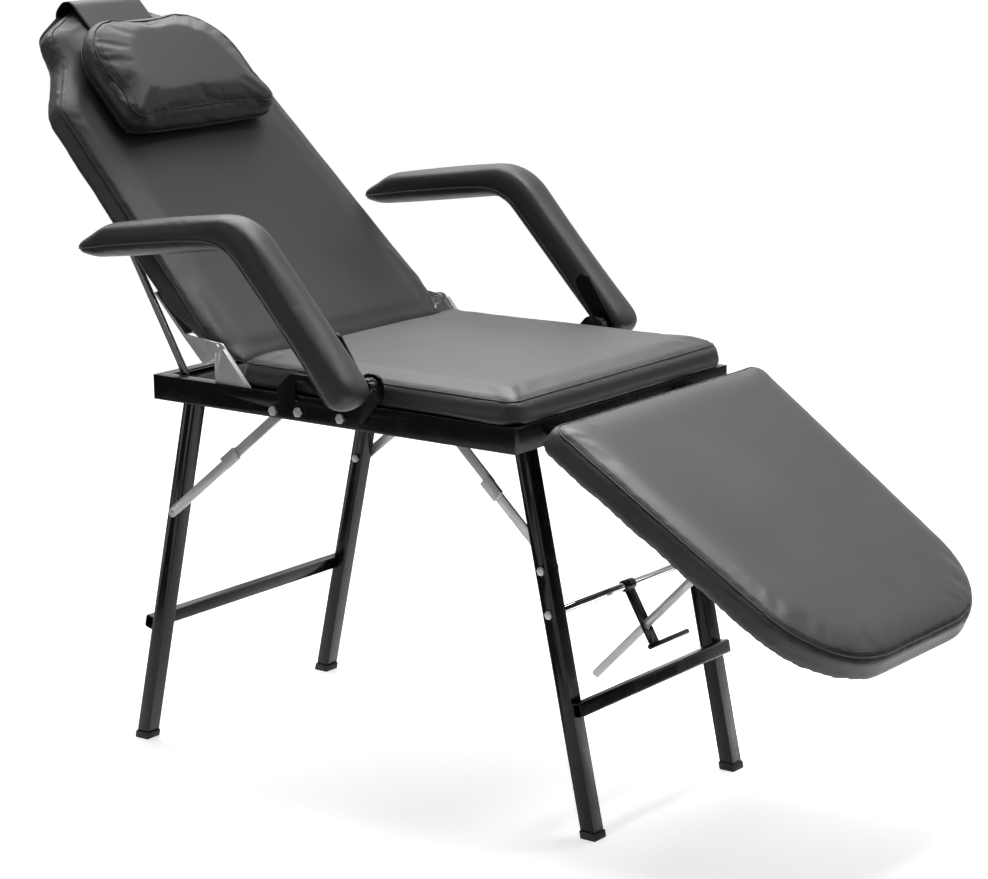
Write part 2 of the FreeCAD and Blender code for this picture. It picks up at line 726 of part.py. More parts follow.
def hinge_leaf():
    y0 = -STRAP_HINGE_Y - STRAP_HINGE_HALF
    y1 = -STRAP_HINGE_Y + STRAP_HINGE_HALF
    x = LEGREST_PIVOT_X
    z = LEGREST_PIVOT_Z
    leaf = box(RAIL_LENGTH, RAIL_LENGTH + 2, y0, y1, RAIL_LOW + 5, z + STRAP_KNUCKLE)
    for low, high in ((y0, y0 + 10), (y1 - 10, y1)):
        leaf = leaf.fuse(round_y(x, z, STRAP_KNUCKLE, low, high))
        leaf = leaf.fuse(box(RAIL_LENGTH, x, low, high, z - STRAP_KNUCKLE, z + STRAP_KNUCKLE - 4))
    return leaf.fuse(round_y(x, z, STRAP_PIN, y0, y1))


def hinge_strap():
    y0 = -STRAP_HINGE_Y - STRAP_HINGE_HALF + 10 + SIDE_PLAY
    y1 = -STRAP_HINGE_Y + STRAP_HINGE_HALF - 10 - SIDE_PLAY
    x = LEGREST_PIVOT_X
    z = LEGREST_PIVOT_Z
    under = z + LEGREST_LOW
    strap = round_y(x, z, STRAP_KNUCKLE, y0, y1)
    strap = strap.fuse(box(x, x + STRAP_KNUCKLE, y0, y1, z, under))
    strap = strap.fuse(box(x, x + STRAP_LENGTH, y0, y1, under - STEEL, under))
    return tilt_legrest(strap.cut(round_y(x, z, STRAP_PIN + RUNNING, y0 - 1, y1 + 1)))


def stay_bracket():
    x = LEGREST_PIVOT_X + STAY_SEAT
    z = LEGREST_PIVOT_Z + STAY_DROP
    under = LEGREST_PIVOT_Z + LEGREST_LOW
    reach = STAY_NOTCH + STAY_PRONG
    bracket = box(x - reach, x + reach, -STAY_PIN_HALF, STAY_PIN_HALF, under - STEEL, under)
    for y0 in (-STAY_CHEEK_Y - STEEL, STAY_CHEEK_Y):
        points = [(x - reach, z - 8), (x + reach, z - 8), (x + reach, under), (x - reach, under)]
        cheek = plate(points, [6, 6, 0, 0], y0, y0 + STEEL)
        cheek = cheek.cut(box(x - STAY_NOTCH, x + STAY_NOTCH, y0 - 1, y0 + STEEL + 1, z - 9, under - STEEL))
        bracket = bracket.fuse(cheek)
    return tilt_legrest(bracket.removeSplitter())


def stay_line():
    top = on_legrest(STAY_SEAT, STAY_DROP)
    rod = V(ROD_X, 0, ROD_Z)
    span = top - rod
    bearing = math.atan2(span.z, span.x)
    turn = bearing + math.asin(TUBE_OFFSET / span.Length)
    run = V(math.cos(turn), 0, math.sin(turn))
    return top, run, span.dot(run)


def stay_tube():
    top, run, reach = stay_line()
    low = top - run * (reach + TUBE_TAIL)
    tube = round_between(low, top, TUBE_RADIUS)
    tube = tube.cut(round_between(low - run, top - run * 12, TUBE_RADIUS - TUBE_WALL))
    return tube.cut(round_y(top.x, top.z, STAY_PIN, -20, 20))


def stay_pin():
    top, run, reach = stay_line()
    return round_y(top.x, top.z, STAY_PIN, -STAY_PIN_HALF, STAY_PIN_HALF)


def stay_rod():
    inner = FRONT_LEG_Y - LEG_SIZE / 2
    rod = round_y(ROD_X, ROD_Z, ROD_RADIUS, -inner + SIDE_PLAY, inner - SIDE_PLAY)
    return rod.fuse(round_y(ROD_X, ROD_Z, ROD_STUD, -inner - 6, inner + 6))


def jam_run():
    turn = math.radians(JAM_ANGLE)
    return V(math.cos(turn), 0, math.sin(turn))


def jam_strap():
    rod = V(ROD_X, 0, ROD_Z)
    run = jam_run()
    half = JAM_STEEL / 2
    points = bar_points(rod, rod + run * JAM_LENGTH, half, 0)
    strap = plate(points, [0] * 4, -JAM_HALF, JAM_HALF)
    roll = ROD_RADIUS + RUNNING
    strap = strap.fuse(round_y(rod.x, rod.z, roll + JAM_STEEL, -JAM_HALF, JAM_HALF))
    strap = strap.cut(round_y(rod.x, rod.z, roll, -JAM_HALF - 1, JAM_HALF + 1))
    top, line, reach = stay_line()
    low = top - line * (reach + TUBE_TAIL)
    return strap.cut(round_between(low, top, TUBE_RADIUS + SIDE_PLAY))


def release_bar():
    end = V(ROD_X, 0, ROD_Z) + jam_run() * (JAM_LENGTH + RELEASE_RADIUS)
    return round_y(end.x, end.z, RELEASE_RADIUS, -JAM_HALF - 3, RELEASE_REACH)


def pillow_points(part):
    low = BACK_PIVOT_X - PILLOW_LOW[0]
    high = BACK_PIVOT_X - PILLOW_HIGH[0]
    return [(low, PILLOW_LOW[1]), (high, PILLOW_HIGH[1]), (high, -PILLOW_HIGH[1]), (low, -PILLOW_LOW[1])]


def pillow():
    low = BACK_PIVOT_Z + BACK_FRONT + SOFT_GAP
    heights = (0.0, 0.12, 0.32, 0.6, 0.79, 0.91, 1.0)
    insets = (12.0, 3.5, 0.0, 0.0, 4.0, 14.0, 40.0)
    levels = []
    for part, inset in zip(heights, insets):
        levels.append((low + part * PILLOW_THICK, inset, pillow_points(part)))
    return tilt_back(cushion(levels, [26, 100, 100, 26]))


def pillow_band():
    x = BACK_PIVOT_X
    z = BACK_PIVOT_Z
    gap = SOFT_GAP
    top = HEAD_TOP[0] + BAND_GAP
    start = x - PILLOW_HIGH[0] - 2 * gap
    inner = [(start, z + BACK_FRONT + gap), (x - top, z + BACK_FRONT + gap),
             (x - top, z + BACK_REAR - gap), (x - BAND_BACK, z + BACK_REAR - gap)]
    t = BAND_THICK
    outer = [(x - BAND_BACK, z + BACK_REAR - gap - t), (x - top - t, z + BACK_REAR - gap - t),
             (x - top - t, z + BACK_FRONT + gap + t), (start, z + BACK_FRONT + gap + t)]
    points = (inner + outer)[::-1]
    radii = [0, 8 + t, 4 + t, 0, 0, 4, 8, 0]
    return tilt_back(plate(points, radii, -BAND_HALF, BAND_HALF))


def arm_points():
    x = ARM_PIVOT_X
    z = ARM_PIVOT_Z
    return [(x - 490, z + 164), (x - 175, z + 207), (x - 12, z - 37), (x + 40, z - 2),
            (x - 135, z + 261), (x - 465, z + 215), (x - 546, z + 171)]


ARM_RADII = [60, 45, 30, 30, 80, 90, 9]


def arm_pad():
    depths = (0.0, 0.05, 0.18, 0.82, 0.95, 1.0)
    insets = (11.0, 4.0, 0.0, 0.0, 4.0, 11.0)
    wires = []
    for part, inset in zip(depths, insets):
        y = -ARM_Y - part * ARM_WIDTH
        wires.append(outline(arm_points(), ARM_RADII, inset, lambda p, y=y: V(p.x, y, p.y)))
    return Part.makeLoft(wires, True, False)


def arm_plate():
    pivot = V(ARM_PIVOT_X, 0, ARM_PIVOT_Z)
    end = pivot + V(-44, 0, 65)
    y1 = -ARM_Y + SOFT_GAP
    points = bar_points(pivot, end, 15, 15)
    bar = plate(points, [14] * 4, y1, y1 + ARM_PLATE)
    return bar.cut(round_y(pivot.x, pivot.z, ARM_STUD + RUNNING, y1 - 1, y1 + ARM_PLATE + 1))


def arm_bracket():
    x = ARM_PIVOT_X
    z = ARM_PIVOT_Z
    low = RAIL_LOW + 4
    y1 = -RAIL_HALF
    y0 = y1 - ARM_BRACKET
    points = [(x - 192, low), (x - 32, low), (x + 18, z - 18), (x + 18, z + 17), (x - 14, z + 17),
              (x - 58, z - 30), (x - 118, z), (x - 164, z), (x - 192, z - 26)]
    web = plate(points, [6, 12, 14, 16, 14, 20, 20, 14, 8], y0, y1)
    window = [(x - 156, low + 28), (x - 84, low + 28), (x - 136, z - 12), (x - 156, z - 12)]
    web = web.cut(plate(window, [5, 5, 9, 9], y0 - 1, y1 + 1))
    y_end = -ARM_Y + SOFT_GAP
    stud = round_y(x, z, ARM_STUD, y_end, y0)
    return web.fuse(stud)


def arm_bracket_bolts():
    bolts = []
    y1 = -RAIL_HALF - ARM_BRACKET
    for x in (ARM_PIVOT_X - 149, ARM_PIVOT_X - 64):
        bolts += pair(hexagon_y(x, RAIL_LOW + 16, 8, y1 - 5, y1))
    return bolts


def arm_knob():
    y1 = -RAIL_HALF - ARM_BRACKET - SIDE_PLAY
    knob = round_y(ARM_PIVOT_X, ARM_PIVOT_Z, KNOB_RADIUS, y1 - KNOB_LENGTH, y1)
    knob = knob.makeFillet(3, [e for e in knob.Edges if len(e.Vertexes) == 1])
    for i in range(8):
        turn = math.radians(45 * i)
        x = ARM_PIVOT_X + (KNOB_RADIUS + 2) * math.cos(turn)
        z = ARM_PIVOT_Z + (KNOB_RADIUS + 2) * math.sin(turn)
        knob = knob.cut(round_y(x, z, 4, y1 - KNOB_LENGTH - 1, y1 - 5))
    return knob.cut(round_y(ARM_PIVOT_X, ARM_PIVOT_Z, ARM_STUD + RUNNING, y1 - KNOB_LENGTH - 1, y1 + 1))


def sides(name, shape):
    return {name + "_left": [shape], name + "_right": [mirrored(shape)]}


def all_parts():
    parts = {}
    parts.update(sides("side_rail", side_rail()))
    parts["rear_rail"] = [end_rail(0, 1)]
    parts["front_rail"] = [end_rail(RAIL_LENGTH, -1)]
    parts["mid_cross_bar"] = [mid_cross_bar()]
    parts["seat_board"] = [seat_board()]
    parts["seat_pad"] = [seat_pad()]
    parts.update(sides("hinge_gusset", hinge_gusset()))
    parts["back_hinge_pins"] = pair(hinge_pin())
    parts.update(sides("prop_rack", prop_rack()))
    parts.update(sides("arm_bracket", arm_bracket()))
    parts["arm_bracket_bolts"] = arm_bracket_bolts()
    parts["leg_pivot_bolts"] = leg_bolts()
    parts["rear_brace_rail_bolts"] = pair(rear_rail_bolt())
    parts["front_brace_lug_pins"] = pair(front_lug_pin())
    parts["legrest_hinge_leaves"] = pair(hinge_leaf())
    parts["backrest_board"] = [backrest_board()]
    parts["backrest_pad"] = [backrest_pad()]
    parts.update(sides("back_cheek", back_cheek()))
    parts["prop_clevises"] = pair(prop_clevis())
    parts.update(sides("prop_strut", prop_strut()))
    parts["prop_foot_bar"] = [prop_foot_bar()]
    parts["pillow"] = [pillow()]
    parts["pillow_band"] = [pillow_band()]
    parts["legrest_board"] = [legrest_board()]
    parts["legrest_pad"] = [legrest_pad()]
    parts["legrest_hinge_straps"] = pair(hinge_strap())
    parts["stay_bracket"] = [stay_bracket()]
    left, right = front_legs()
    parts["front_leg_left"] = [left]
    parts["front_leg_right"] = [right]
    parts["front_cross_bar"] = [leg_cross_bar(FRONT_LEG_FOOT, FRONT_LEG_SLOPE, FRONT_BAR_Z, FRONT_LEG_Y, 1)]
    parts["front_feet"] = pair(leg_foot(FRONT_LEG_FOOT, FRONT_LEG_SLOPE, FRONT_LEG_Y))
    parts["front_leg_bolts"] = pair(front_brace_bolt()) + pair(rod_bolt())
    left, right = rear_legs()
    parts["rear_leg_left"] = [left]
    parts["rear_leg_right"] = [right]
    parts["rear_cross_bar"] = [leg_cross_bar(REAR_LEG_FOOT, REAR_LEG_SLOPE, REAR_BAR_Z, REAR_LEG_Y, -1)]
    parts["rear_feet"] = pair(leg_foot(REAR_LEG_FOOT, REAR_LEG_SLOPE, REAR_LEG_Y))
    parts["rear_leg_bolts"] = pair(rear_brace_bolt())
    parts["rear_brace_upper_links"] = pair(rear_upper_link())
    parts["rear_brace_clips"] = pair(rear_clip())
    parts["rear_brace_lower_links"] = pair(rear_lower_link())
    parts["front_brace_upper_links"] = pair(front_upper_link())
    parts["front_brace_lower_links"] = pair(front_lower_link())
    parts["front_brace_clips"] = pair(front_clip())
    parts["stay_rod"] = [stay_rod()]
    parts["jam_strap"] = [jam_strap()]
    parts["release_bar"] = [release_bar()]
    parts["stay_tube"] = [stay_tube()]
    parts["stay_pin"] = [stay_pin()]
    parts.update(sides("arm_pad", arm_pad()))
    parts.update(sides("arm_plate", arm_plate()))
    parts.update(sides("arm_knob", arm_knob()))
    return parts


def centred(parts):
    boxes = [s.optimalBoundingBox(False) for solids in parts.values() for s in solids]
    low = min(b.XMin for b in boxes)
    high = max(b.XMax for b in boxes)
    return V(-(low + high) / 2, 0, 0)


def main():
    os.makedirs("parts", exist_ok=True)
    parts = all_parts()
    shift = centred(parts)
    for name, solids in parts.items():
        shape = Part.makeCompound([s.translated(shift) for s in solids])
        shape.exportStep("parts/" + name + ".step")


main()
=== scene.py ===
import json
import math
import bmesh
import bpy
import numpy as np
from mathutils import Matrix, Vector, noise
from mathutils.bvhtree import BVHTree
from mathutils.kdtree import KDTree


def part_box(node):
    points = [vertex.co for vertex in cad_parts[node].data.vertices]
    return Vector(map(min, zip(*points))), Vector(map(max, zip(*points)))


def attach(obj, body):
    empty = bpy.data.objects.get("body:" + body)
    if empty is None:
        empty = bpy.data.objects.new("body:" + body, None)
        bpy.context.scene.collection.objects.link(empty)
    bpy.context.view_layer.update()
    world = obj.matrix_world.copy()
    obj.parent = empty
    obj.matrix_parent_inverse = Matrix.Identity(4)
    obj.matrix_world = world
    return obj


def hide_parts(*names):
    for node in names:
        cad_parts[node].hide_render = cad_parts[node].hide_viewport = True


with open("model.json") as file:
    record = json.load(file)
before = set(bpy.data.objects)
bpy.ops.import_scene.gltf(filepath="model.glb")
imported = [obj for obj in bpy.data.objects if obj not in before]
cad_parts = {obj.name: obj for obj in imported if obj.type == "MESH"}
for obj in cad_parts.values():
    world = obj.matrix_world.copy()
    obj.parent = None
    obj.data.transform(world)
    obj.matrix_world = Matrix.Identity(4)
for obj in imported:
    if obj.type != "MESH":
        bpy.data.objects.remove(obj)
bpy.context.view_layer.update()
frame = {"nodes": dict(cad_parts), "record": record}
NODES = frame["nodes"]
RECORD = frame["record"]
JOINTS = {j["name"]: j for j in RECORD["behaviour"]["joints"]}
SLOT_OF = {s["node"]: s["material_slot"] for s in RECORD["subparts"]}


# Directions of the tilted parts, read from the joints
BACK_UP = Vector(JOINTS["pillow_slide"]["axis"]).normalized()
BACK_OUT = Vector((BACK_UP.z, 0, -BACK_UP.x))
BACK_PIVOT = Vector(JOINTS["backrest_tilt"]["pos_m"])
LEG_DROOP = math.radians(JOINTS["legrest_tilt"]["range_deg"][1])
LEG_OUT = Vector((math.cos(LEG_DROOP), 0, -math.sin(LEG_DROOP)))
LEG_UP = Vector((math.sin(LEG_DROOP), 0, math.cos(LEG_DROOP)))
UP = Vector((0, 0, 1))


# Shader building
class Value:
    """One output socket that takes plain arithmetic."""

    def __init__(self, shader, socket):
        self.shader = shader
        self.socket = socket

    def math(self, operation, first, second):
        return self.shader.node("ShaderNodeMath", {"operation": operation}, {0: first, 1: second})

    def __add__(self, other):
        return self.math("ADD", self, other)

    def __radd__(self, other):
        return self.math("ADD", other, self)

    def __mul__(self, other):
        return self.math("MULTIPLY", self, other)

    def __rmul__(self, other):
        return self.math("MULTIPLY", other, self)

    def __neg__(self):
        return self.math("MULTIPLY", self, -1.0)


class Shader:
    """The node tree of a material or of the world."""

    def __init__(self, owner):
        self.owner = owner
        owner.use_nodes = True
        self.tree = owner.node_tree
        self.tree.nodes.clear()

    def node(self, kind, settings=None, inputs=None, output=0):
        made = self.tree.nodes.new(kind)
        for key, value in (settings or {}).items():
            setattr(made, key, value)
        for key, value in (inputs or {}).items():
            if isinstance(value, Value):
                self.tree.links.new(value.socket, made.inputs[key])
            else:
                made.inputs[key].default_value = value
        return Value(self, made.outputs[output]) if made.outputs else None

    def place(self, scale=(1, 1, 1)):
        point = self.node("ShaderNodeTexCoord", output="Object")
        return self.node("ShaderNodeMapping", None, {"Vector": point, "Scale": scale})

    def noise(self, scale, detail=3.0, stretch=(1, 1, 1)):
        inputs = {"Vector": self.place(stretch), "Scale": scale, "Detail": detail}
        return self.node("ShaderNodeTexNoise", None, inputs, "Fac")

    def cells(self, scale, feature="F1"):
        inputs = {"Vector": self.place(), "Scale": scale}
        return self.node("ShaderNodeTexVoronoi", {"feature": feature}, inputs, "Distance")

    def ramp(self, value, low, high):
        inputs = {"Value": value, "From Min": low, "From Max": high}
        return self.node("ShaderNodeMapRange", None, inputs)

    def shade(self, value, dark, light):
        inputs = {0: value, 6: dark + (1,), 7: light + (1,)}
        return self.node("ShaderNodeMix", {"data_type": "RGBA"}, inputs, 2)

    def bump(self, height, strength, distance):
        inputs = {"Height": height, "Strength": strength, "Distance": distance}
        return self.node("ShaderNodeBump", None, inputs)

    def finish(self, inputs):
        surface = self.node("ShaderNodeBsdfPrincipled", None, inputs)
        self.node("ShaderNodeOutputMaterial", None, {"Surface": surface})
        return self.owner


def finish_named(name):
    return Shader(bpy.data.materials.new(name))


def leatherette():
    s = finish_named("leatherette")
    grain = s.cells(900.0) * 0.6 + s.cells(420.0, "SMOOTH_F1") * 0.4
    soft = s.noise(14.0, 4.0)
    worn = s.ramp(s.noise(5.0, 5.0), 0.35, 0.75)
    colour = s.shade(worn * 0.6 + soft * 0.4, (0.030, 0.0303, 0.0312), (0.041, 0.0413, 0.0423))
    rough = 0.42 + 0.10 * worn + 0.06 * grain
    height = grain * 0.5 + soft * 0.8
    return s.finish({"Base Color": colour, "Roughness": rough, "Specular IOR Level": 0.5,
                     "Normal": s.bump(height, 0.22, 0.0012)})


def black_paint():
    s = finish_named("black paint")
    peel = s.noise(160.0, 2.0)
    dust = s.ramp(s.noise(24.0, 6.0), 0.45, 0.8)
    colour = s.shade(dust, (0.0035, 0.0035, 0.0037), (0.007, 0.007, 0.0073))
    rough = 0.20 + 0.14 * dust + 0.04 * peel
    return s.finish({"Base Color": colour, "Roughness": rough, "Specular IOR Level": 0.22,
                     "Normal": s.bump(peel, 0.06, 0.0008)})


def zinc():
    s = finish_named("zinc plate")
    streak = s.noise(60.0, 5.0, (1, 22, 1))
    cloud = s.noise(30.0, 4.0)
    colour = s.shade(cloud * 0.5 + streak * 0.5, (0.50, 0.51, 0.52), (0.72, 0.73, 0.74))
    rough = 0.34 + 0.18 * streak
    return s.finish({"Base Color": colour, "Metallic": 0.6, "Roughness": rough,
                     "Normal": s.bump(streak, 0.05, 0.0006)})


def chrome():
    s = finish_named("chrome")
    haze = s.ramp(s.noise(40.0, 5.0), 0.45, 0.85)
    colour = s.shade(haze, (0.70, 0.70, 0.71), (0.58, 0.58, 0.59))
    return s.finish({"Base Color": colour, "Metallic": 1.0, "Roughness": 0.05 + 0.10 * haze,
                     "Normal": s.bump(s.noise(300.0, 2.0), 0.02, 0.0004)})


def board():
    s = finish_named("black lining on board")
    weave = s.cells(700.0)
    stain = s.noise(9.0, 4.0)
    colour = s.shade(stain, (0.010, 0.010, 0.010), (0.022, 0.021, 0.020))
    return s.finish({"Base Color": colour, "Roughness": 0.85 + 0.1 * weave,
                     "Normal": s.bump(weave, 0.3, 0.0006)})


def rubber():
    s = finish_named("black rubber")
    scuff = s.ramp(s.noise(45.0, 6.0), 0.4, 0.75)
    colour = s.shade(scuff, (0.008, 0.008, 0.008), (0.022, 0.022, 0.022))
    return s.finish({"Base Color": colour, "Roughness": 0.6 + 0.25 * scuff,
                     "Normal": s.bump(s.noise(500.0, 2.0), 0.15, 0.0005)})


def plastic():
    s = finish_named("black plastic")
    spark = s.noise(700.0, 2.0)
    rub = s.ramp(s.noise(60.0, 4.0), 0.45, 0.8)
    colour = s.shade(rub, (0.009, 0.009, 0.0095), (0.020, 0.020, 0.021))
    return s.finish({"Base Color": colour, "Roughness": 0.38 + 0.2 * rub,
                     "Normal": s.bump(spark, 0.12, 0.0005)})


def thread():
    s = finish_named("sewing thread")
    twist = s.noise(2400.0, 2.0)
    # Light grey, lighter than the cover: the thread's own colour on the stitches, and a painted highlight on
    # the arm piping, which takes this colour too
    colour = s.shade(twist, (0.07, 0.07, 0.072), (0.13, 0.13, 0.133))
    return s.finish({"Base Color": colour, "Roughness": 0.45 + 0.2 * twist,
                     "Normal": s.bump(twist, 0.3, 0.0003)})


MATERIALS = {"leatherette": leatherette(), "thread": thread(), "black_paint": black_paint(),
             "zinc": zinc(), "chrome": chrome(), "board": board(), "black_rubber": rubber(),
             "black_plastic": plastic()}


def paint(obj, slot):
    obj.data.materials.clear()
    obj.data.materials.append(MATERIALS[slot])


def shade_round(obj, degrees=32):
    """Soft shading over the round faces of a metal piece, with its true edges kept crisp."""
    join = obj.modifiers.new("joined", "WELD")
    join.merge_threshold = 1e-6
    ease = obj.modifiers.new("eased edge", "BEVEL")
    ease.width = 0.0005
    ease.segments = 2
    ease.limit_method = "ANGLE"
    ease.angle_limit = math.radians(degrees)
    ease.harden_normals = True
    for face in obj.data.polygons:
        face.use_smooth = True


def new_object(name, mesh):
    obj = bpy.data.objects.new(name, mesh)
    bpy.context.scene.collection.objects.link(obj)
    return obj


# Cushions
SWELL_FRAMES = 20      # length of the cloth simulation
SWELL_EASE = 3         # smoothing rounds after it
WELT_STEP = 0.004
STITCH_STEP = 0.0048
STITCH_SINK = 0.0004   # how far the ends of a stitch go under the cover
THREAD_RADIUS = 0.00035


def points_of(mesh):
    flat = np.zeros(len(mesh.vertices) * 3)
    mesh.vertices.foreach_get("co", flat)
    return flat.reshape(-1, 3)


def normals_of(mesh):
    flat = np.zeros(len(mesh.vertices) * 3)
    mesh.vertices.foreach_get("normal", flat)
    return flat.reshape(-1, 3)


def set_points(mesh, points):
    mesh.vertices.foreach_set("co", points.reshape(-1))
    mesh.update()


def baked(obj):
    graph = bpy.context.evaluated_depsgraph_get()
    mesh = bpy.data.meshes.new_from_object(obj.evaluated_get(graph))
    obj.modifiers.clear()
    old = obj.data
    obj.data = mesh
    bpy.data.meshes.remove(old)
    return obj


def remeshed(obj, voxel):
    change = obj.modifiers.new("even mesh", "REMESH")
    change.mode = "VOXEL"
    change.voxel_size = voxel
    change.use_smooth_shade = True
    return baked(obj)


def smoothed(obj, rounds, factor=0.5):
    change = obj.modifiers.new("ease", "SMOOTH")
    change.iterations = rounds
    change.factor = factor
    return baked(obj)


def inflate(obj, held, pressure, limit):
    """Lets the cover swell under pressure, held at its base, and keeps the movement under the limit."""
    start = points_of(obj.data)
    group = obj.vertex_groups.new(name="held")
    group.add([int(i) for i in np.nonzero(held)[0]], 1.0, "REPLACE")
    cloth = obj.modifiers.new("cover", "CLOTH")
    settings = cloth.settings
    settings.vertex_group_mass = "held"
    settings.use_pressure = True
    settings.uniform_pressure_force = pressure
    settings.effector_weights.gravity = 0.0
    settings.quality = 5
    settings.tension_stiffness = 20.0
    settings.compression_stiffness = 20.0
    settings.bending_stiffness = 1.5
    settings.mass = 0.4
    cloth.point_cache.frame_start = 1
    cloth.point_cache.frame_end = SWELL_FRAMES
    scene = bpy.context.scene
    for number in range(1, SWELL_FRAMES + 1):
        scene.frame_set(number)
    baked(obj)
    scene.frame_set(1)
    end = points_of(obj.data)
    move = end - start
    size = np.linalg.norm(move, axis=1, keepdims=True)
    move *= np.minimum(1.0, limit / np.maximum(size, 1e-9))
    set_points(obj.data, start + move)


def refit(obj, node, axes, grow):
    """Brings an eased cover back to the outer size of its solid, with a small overhang at each end."""
    points = points_of(obj.data)
    solid = points_of(NODES[node].data)
    for axis, (low, high) in zip(axes, grow):
        way = np.array(axis)
        at = points @ way
        start = (solid @ way).min() - low
        end = (solid @ way).max() + high
        points += np.outer(start + (at - at.min()) * (end - start) / np.ptp(at) - at, way)
    set_points(obj.data, points)


def cushion(node, name, axes, grow, voxel, rounds, pressure, limit, base=0.012):
    normal = axes[2]
    mesh = NODES[node].data.copy()
    obj = new_object(name, mesh)
    remeshed(obj, voxel)
    smoothed(obj, rounds)
    points = points_of(obj.data)
    height = points @ np.array(normal)
    held = height < height.min() + base
    inflate(obj, held, pressure, limit)
    smoothed(obj, SWELL_EASE)
    refit(obj, node, axes, grow)
    change = obj.modifiers.new("fine", "SUBSURF")
    change.levels = 1
    change.render_levels = 1
    baked(obj)
    for face in obj.data.polygons:
        face.use_smooth = True
    paint(obj, "leatherette")
    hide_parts(node)
    return obj


def cut_loop(obj, point, normal):
    """The longest closed line where a plane meets the cushion."""
    edit = bmesh.new()
    edit.from_mesh(obj.data)
    everything = edit.verts[:] + edit.edges[:] + edit.faces[:]
    cut = bmesh.ops.bisect_plane(edit, geom=everything, plane_co=point, plane_no=normal)
    edges = [e for e in cut["geom_cut"] if isinstance(e, bmesh.types.BMEdge)]
    links = {}
    for edge in edges:
        a, b = edge.verts
        links.setdefault(a, []).append(b)
        links.setdefault(b, []).append(a)
    loops = []
    left = set(links)
    while left:
        at = min(left, key=lambda v: (round(v.co.x, 6), round(v.co.y, 6), round(v.co.z, 6)))
        line = []
        while at is not None:
            left.discard(at)
            line.append((at.co.copy(), at.normal.copy()))
            at = next((v for v in links[at] if v in left), None)
        loops.append(line)
    edit.free()
    size = [sum((a[0] - b[0]).length for a, b in zip(line, line[1:])) for line in loops]
    return loops[size.index(max(size))]


def even(line, step, closed):
    """The line again, with points at an even step."""
    points = list(line) + ([line[0]] if closed else [])
    kept = [points[0]]
    carried = 0.0
    for (a, na), (b, nb) in zip(points, points[1:]):
        run = (b - a).length
        while carried + run >= step and run > 0:
            share = (step - carried) / run
            a, na = a.lerp(b, share), na.lerp(nb, share)
            kept.append((a, na))
            run = (b - a).length
            carried = 0.0
        carried += run
    return kept


def press(obj, line, depth, reach, pitch):
    """Pulls the cover in along a seam, with small puckers beside it."""
    tree = KDTree(len(line))
    for index, (co, normal) in enumerate(line):
        tree.insert(co, index)
    tree.balance()
    points = points_of(obj.data)
    normals = normals_of(obj.data)
    for at, (point, normal) in enumerate(zip(points.tolist(), normals.tolist())):
        co, index, distance = tree.find(point)
        if distance < reach:
            fade = (1 - (distance / reach) ** 2) ** 2
            ripple = noise.noise(Vector(point) / pitch)
            away = min(1.0, distance / (0.35 * reach))
            points[at] -= np.array(normal) * depth * fade * (1 - away * (0.35 - 0.9 * ripple))
    set_points(obj.data, points)


def tube(name, lines, radius, body, slot, closed):
    curve = bpy.data.curves.new(name, "CURVE")
    curve.dimensions = "3D"
    curve.bevel_depth = radius
    curve.bevel_resolution = 2
    curve.use_fill_caps = True
    for points in lines:
        spline = curve.splines.new("POLY")
        spline.points.add(len(points) - 1)
        for slot_point, point in zip(spline.points, points):
            slot_point.co = (*point, 1)
        spline.use_cyclic_u = closed
    obj = new_object(name, curve)
    graph = bpy.context.evaluated_depsgraph_get()
    mesh = bpy.data.meshes.new_from_object(obj.evaluated_get(graph))
    bpy.data.objects.remove(obj)
    obj = new_object(name, mesh)
    for face in mesh.polygons:
        face.use_smooth = True
    paint(obj, slot)
    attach(obj, body)


def seam(obj, name, line, body, closed=True, radius=0.0012, depth=0.0016, reach=0.011, pitch=0.013,
         slot="leatherette"):
    """A welt along a line, in a groove that is pressed into the cover."""
    welt = even(line, WELT_STEP, closed)
    press(obj, welt, depth, reach, pitch)
    sink = depth - radius * 0.7
    tube(name + "_welt", [[co - normal * sink for co, normal in welt]], radius, body, slot, closed)


def stitches(name, line, body, closed=True, length=0.0032, lift=0.0002):
    """Thread laid over the cover, one short length for each stitch."""
    places = even(line, STITCH_STEP, closed)
    threads = []
    for (a, na), (b, nb) in zip(places, places[1:]):
        run = (b - a).normalized() * length
        threads.append([a - na * STITCH_SINK, a + run * 0.2 + na * lift,
                        a + run * 0.8 + na * lift, a + run - na * STITCH_SINK])
    tube(name + "_stitches", threads, THREAD_RADIUS, body, "thread", False)


def top_of(obj, normal):
    return float((points_of(obj.data) @ np.array(normal)).max())


ALONG = Vector((1, 0, 0))
ACROSS = Vector((0, 1, 0))
BACK_AXES = (BACK_UP, ACROSS, BACK_OUT)
NO_GROWTH = ((0, 0), (0, 0), (0, 0))
BACK_GROWTH = ((0.012, 0), (0, 0), (0, 0))
LEG_GROWTH = ((0.002, 0.022), (0.014, 0.014), (0, 0.003))
PILLOW_GROWTH = ((0.016, 0), (0.008, 0.008), (0, 0.004))
seat = cushion("seat_pad", "seat_cushion", (ALONG, ACROSS, UP), NO_GROWTH,
               voxel=0.006, rounds=16, pressure=4.0, limit=0.004)
back = cushion("backrest_pad", "back_cushion", BACK_AXES, BACK_GROWTH,
               voxel=0.006, rounds=16, pressure=4.0, limit=0.004)
leg = cushion("legrest_pad", "leg_cushion", (LEG_OUT, ACROSS, LEG_UP), LEG_GROWTH,
              voxel=0.006, rounds=16, pressure=4.0, limit=0.003)
head = cushion("pillow", "head_pillow_cushion", BACK_AXES, PILLOW_GROWTH,
               voxel=0.005, rounds=9, pressure=4.0, limit=0.007, base=0.004)
arms = {}
